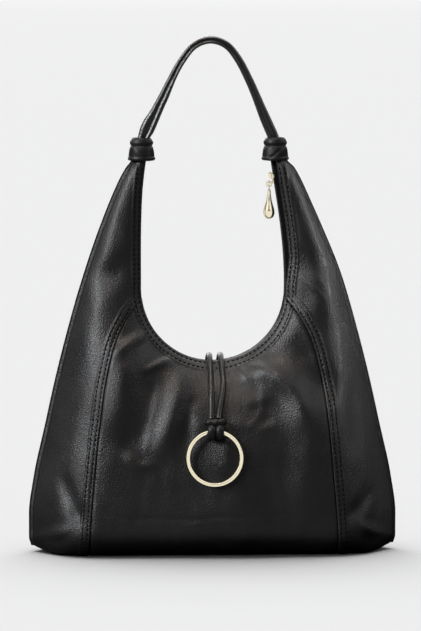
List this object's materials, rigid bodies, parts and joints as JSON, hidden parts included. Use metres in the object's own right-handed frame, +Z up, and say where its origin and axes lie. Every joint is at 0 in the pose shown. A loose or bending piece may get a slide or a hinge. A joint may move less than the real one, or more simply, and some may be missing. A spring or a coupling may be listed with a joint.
{
  "type": "tote bag",
  "caption": "Slouchy leather shoulder tote with a round scooped mouth, zip, rolled strap tied into knots, and a metal ring hanging on a lace loop at the front.",
  "frame": {"origin": "on the floor under the middle of the base", "axes": "+Z up, the front with the ring faces -Y, +X to the right seen from the front"},
  "size_m": [0.3684, 0.1373, 0.5154],
  "materials": {
    "leather": "semi-gloss fine grain",
    "zip_tape": "woven, matt",
    "gold_metal": "polished pale gold"
  },
  "bodies": {
    "bag": {"front_panel": "leather", "back_panel": "leather", "base_panel": "leather", "side_front_left": "leather", "side_front_right": "leather", "side_back_left": "leather", "side_back_right": "leather", "zip_tape_front": "zip_tape", "zip_tape_back": "zip_tape", "zip_slider": "gold_metal", "strap": "leather", "knot_left": "leather", "knot_right": "leather", "lace_left": "leather", "lace_right": "leather", "lace_hitch": "leather"},
    "ring": {"ring": "gold_metal"},
    "zip_pull": {"zip_link": "gold_metal", "zip_pull": "gold_metal"}
  },
  "joints": [
    {"name": "ring_swing", "type": "hinge", "parent": "bag", "child": "ring", "pos_m": [0.0006, -0.06696, 0.1274], "axis": [-1, 0, 0], "range_deg": [0, 150]},
    {"name": "zip_pull_swing", "type": "hinge", "parent": "bag", "child": "zip_pull", "pos_m": [0.05746, 0, 0.36907], "axis": [0, 1, 0], "range_deg": [0, 150]}
  ]
}
